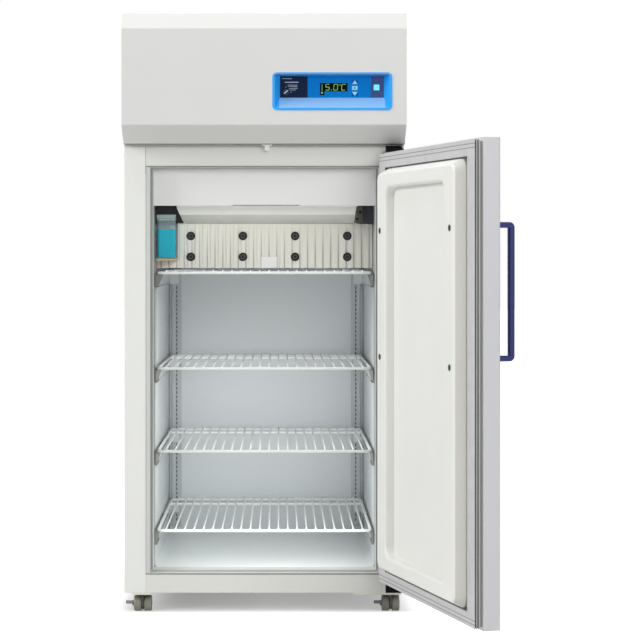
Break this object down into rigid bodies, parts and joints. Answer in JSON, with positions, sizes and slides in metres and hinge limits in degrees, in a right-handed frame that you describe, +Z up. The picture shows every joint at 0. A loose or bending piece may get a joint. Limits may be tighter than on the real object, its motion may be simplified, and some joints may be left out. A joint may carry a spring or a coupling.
{
  "type": "laboratory refrigerator",
  "caption": "Upright laboratory refrigerator with open solid door, wire shelves, ribbed blower cover, hood with recessed blue control panel and twin-wheel casters",
  "frame": {"origin": "on the floor under the middle of the cabinet", "axes": "+Z up, -Y is the front where the door is, +X is the hinge side"},
  "size_m": [0.9139, 1.5024, 1.517],
  "materials": {
    "case_paint": "satin warm white powder coat",
    "hood_paint": "satin light grey-white paint",
    "liner_white": "satin white coated steel",
    "foam": "pale polyurethane foam",
    "breaker_white": "satin white extrusion",
    "bezel_blue": "satin blue moulding",
    "panel_blue": "printed blue membrane",
    "display_glass": "dark gloss window",
    "key_blue": "light blue satin key",
    "key_cyan": "lit cyan key",
    "key_steel": "polished",
    "sensor_white": "satin white",
    "hinge_black": "black powder coat",
    "housing_white": "satin light grey coat",
    "cover_cream": "satin cream moulding",
    "plug_black": "matt black",
    "coil_metal": "fins and tubes",
    "motor_black": "matt black",
    "fan_grey": "matt dark grey",
    "post_steel": "satin grey-white",
    "bracket_steel": "satin grey",
    "shelf_wire": "white coated wire",
    "bottle_clear": "clear bottle",
    "fluid_teal": "teal fluid",
    "cap_white": "satin",
    "tray_amber": "amber plastic",
    "pump_black": "gloss black",
    "shroud_grey": "galvanised",
    "plate_zinc": "zinc plated",
    "yoke_grey": "matt grey",
    "wheel_grey": "matt grey tread",
    "pedal_grey": "satin grey",
    "pan_paint": "satin warm white powder coat",
    "door_liner_white": "satin white moulding",
    "gasket_grey": "soft grey vinyl",
    "handle_navy": "satin navy moulding"
  },
  "bodies": {
    "cabinet": {"outer_case": "case_paint", "header_panel": "case_paint", "base_rail": "case_paint", "inner_liner": "liner_white", "insulation": "foam", "breaker_frame": "breaker_white", "hood_front": "hood_paint", "hood_cover": "case_paint", "control_bezel": "bezel_blue", "control_panel": "panel_blue", "display_window": "display_glass", "door_sensor": "sensor_white", "upper_hinge": "hinge_black", "lower_hinge": "hinge_black", "evaporator_housing": "housing_white", "blower_cover": "cover_cream", "cover_plugs": "plug_black", "evaporator_coil": "coil_metal", "evaporator_motors": "motor_black", "pilaster_left": "post_steel", "pilaster_right": "post_steel", "shelf_brackets_left": "bracket_steel", "shelf_brackets_right": "bracket_steel", "bottle_tray": "tray_amber", "buffer_bottle": "bottle_clear", "buffer_fluid": "fluid_teal", "bottle_cap": "cap_white", "compressor": "pump_black", "condenser_coil": "coil_metal", "fan_shroud": "shroud_grey", "caster_plates": "plate_zinc"},
    "door": {"door_pan": "pan_paint", "door_foam": "foam", "door_liner": "door_liner_white", "liner_plugs": "plug_black", "door_gasket": "gasket_grey", "door_handle": "handle_navy"},
    "shelf_1": {"shelf_1": "shelf_wire"},
    "shelf_2": {"shelf_2": "shelf_wire"},
    "shelf_3": {"shelf_3": "shelf_wire"},
    "shelf_4": {"shelf_4": "shelf_wire"},
    "up_key": {"up_key": "key_blue"},
    "set_key": {"set_key": "key_blue"},
    "down_key": {"down_key": "key_blue"},
    "alarm_key": {"alarm_key": "key_cyan"},
    "key_switch": {"key_switch": "key_steel"},
    "condenser_fan": {"condenser_fan": "fan_grey"},
    "evaporator_fan_left": {"evaporator_fan_left": "fan_grey"},
    "evaporator_fan_right": {"evaporator_fan_right": "fan_grey"},
    "yoke_front_left": {"caster_yoke_front_left": "yoke_grey"},
    "wheels_front_left": {"caster_wheels_front_left": "wheel_grey"},
    "pedal_front_left": {"brake_pedal_front_left": "pedal_grey"},
    "yoke_front_right": {"caster_yoke_front_right": "yoke_grey"},
    "wheels_front_right": {"caster_wheels_front_right": "wheel_grey"},
    "pedal_front_right": {"brake_pedal_front_right": "pedal_grey"},
    "yoke_rear_left": {"caster_yoke_rear_left": "yoke_grey"},
    "wheels_rear_left": {"caster_wheels_rear_left": "wheel_grey"},
    "yoke_rear_right": {"caster_yoke_rear_right": "yoke_grey"},
    "wheels_rear_right": {"caster_wheels_rear_right": "wheel_grey"}
  },
  "joints": [
    {"name": "door_swing", "type": "hinge", "parent": "cabinet", "child": "door", "pos_m": [0.333, -0.445, 0.628], "axis": [0, 0, 1], "range_deg": [-105.18, 15]},
    {"name": "shelf_1_slide", "type": "slide", "parent": "cabinet", "child": "shelf_1", "axis": [0, -1, 0], "range_m": [0, 0.35]},
    {"name": "shelf_2_slide", "type": "slide", "parent": "cabinet", "child": "shelf_2", "axis": [0, -1, 0], "range_m": [0, 0.35]},
    {"name": "shelf_3_slide", "type": "slide", "parent": "cabinet", "child": "shelf_3", "axis": [0, -1, 0], "range_m": [0, 0.35]},
    {"name": "shelf_4_slide", "type": "slide", "parent": "cabinet", "child": "shelf_4", "axis": [0, -1, 0], "range_m": [0, 0.35]},
    {"name": "up_key_press", "type": "slide", "parent": "cabinet", "child": "up_key", "axis": [0, 1, 0], "range_m": [0, 0.0012], "stiffness_N_per_m": 400},
    {"name": "set_key_press", "type": "slide", "parent": "cabinet", "child": "set_key", "axis": [0, 1, 0], "range_m": [0, 0.0012], "stiffness_N_per_m": 400},
    {"name": "down_key_press", "type": "slide", "parent": "cabinet", "child": "down_key", "axis": [0, 1, 0], "range_m": [0, 0.0012], "stiffness_N_per_m": 400},
    {"name": "alarm_key_press", "type": "slide", "parent": "cabinet", "child": "alarm_key", "axis": [0, 1, 0], "range_m": [0, 0.0012], "stiffness_N_per_m": 400},
    {"name": "key_switch_turn", "type": "hinge", "parent": "cabinet", "child": "key_switch", "pos_m": [0.055, -0.471, 1.3192], "axis": [0, 1, 0], "range_deg": [-50, 40]},
    {"name": "condenser_fan_spin", "type": "hinge", "parent": "cabinet", "child": "condenser_fan", "pos_m": [0.095, -0.162, 1.323], "axis": [0, 1, 0], "continuous": true},
    {"name": "evaporator_fan_left_spin", "type": "hinge", "parent": "cabinet", "child": "evaporator_fan_left", "pos_m": [-0.098, -0.092, 0.951], "axis": [0, 0, 1], "continuous": true},
    {"name": "evaporator_fan_right_spin", "type": "hinge", "parent": "cabinet", "child": "evaporator_fan_right", "pos_m": [0.152, -0.092, 0.951], "axis": [0, 0, 1], "continuous": true},
    {"name": "swivel_front_left", "type": "hinge", "parent": "cabinet", "child": "yoke_front_left", "pos_m": [-0.311, -0.364, 0.048], "axis": [0, 0, 1], "continuous": true},
    {"name": "roll_front_left", "type": "hinge", "parent": "yoke_front_left", "child": "wheels_front_left", "pos_m": [-0.311, -0.35, 0.02], "axis": [1, 0, 0], "continuous": true},
    {"name": "brake_front_left", "type": "hinge", "parent": "yoke_front_left", "child": "pedal_front_left", "pos_m": [-0.311, -0.35, 0.02], "axis": [1, 0, 0], "range_deg": [0, 50]},
    {"name": "swivel_front_right", "type": "hinge", "parent": "cabinet", "child": "yoke_front_right", "pos_m": [0.323, -0.364, 0.048], "axis": [0, 0, 1], "continuous": true},
    {"name": "roll_front_right", "type": "hinge", "parent": "yoke_front_right", "child": "wheels_front_right", "pos_m": [0.323, -0.35, 0.02], "axis": [1, 0, 0], "continuous": true},
    {"name": "brake_front_right", "type": "hinge", "parent": "yoke_front_right", "child": "pedal_front_right", "pos_m": [0.323, -0.35, 0.02], "axis": [1, 0, 0], "range_deg": [0, 50]},
    {"name": "swivel_rear_left", "type": "hinge", "parent": "cabinet", "child": "yoke_rear_left", "pos_m": [-0.311, 0.364, 0.048], "axis": [0, 0, 1], "continuous": true},
    {"name": "roll_rear_left", "type": "hinge", "parent": "yoke_rear_left", "child": "wheels_rear_left", "pos_m": [-0.311, 0.378, 0.02], "axis": [1, 0, 0], "continuous": true},
    {"name": "swivel_rear_right", "type": "hinge", "parent": "cabinet", "child": "yoke_rear_right", "pos_m": [0.323, 0.364, 0.048], "axis": [0, 0, 1], "continuous": true},
    {"name": "roll_rear_right", "type": "hinge", "parent": "yoke_rear_right", "child": "wheels_rear_right", "pos_m": [0.323, 0.378, 0.02], "axis": [1, 0, 0], "continuous": true}
  ]
}
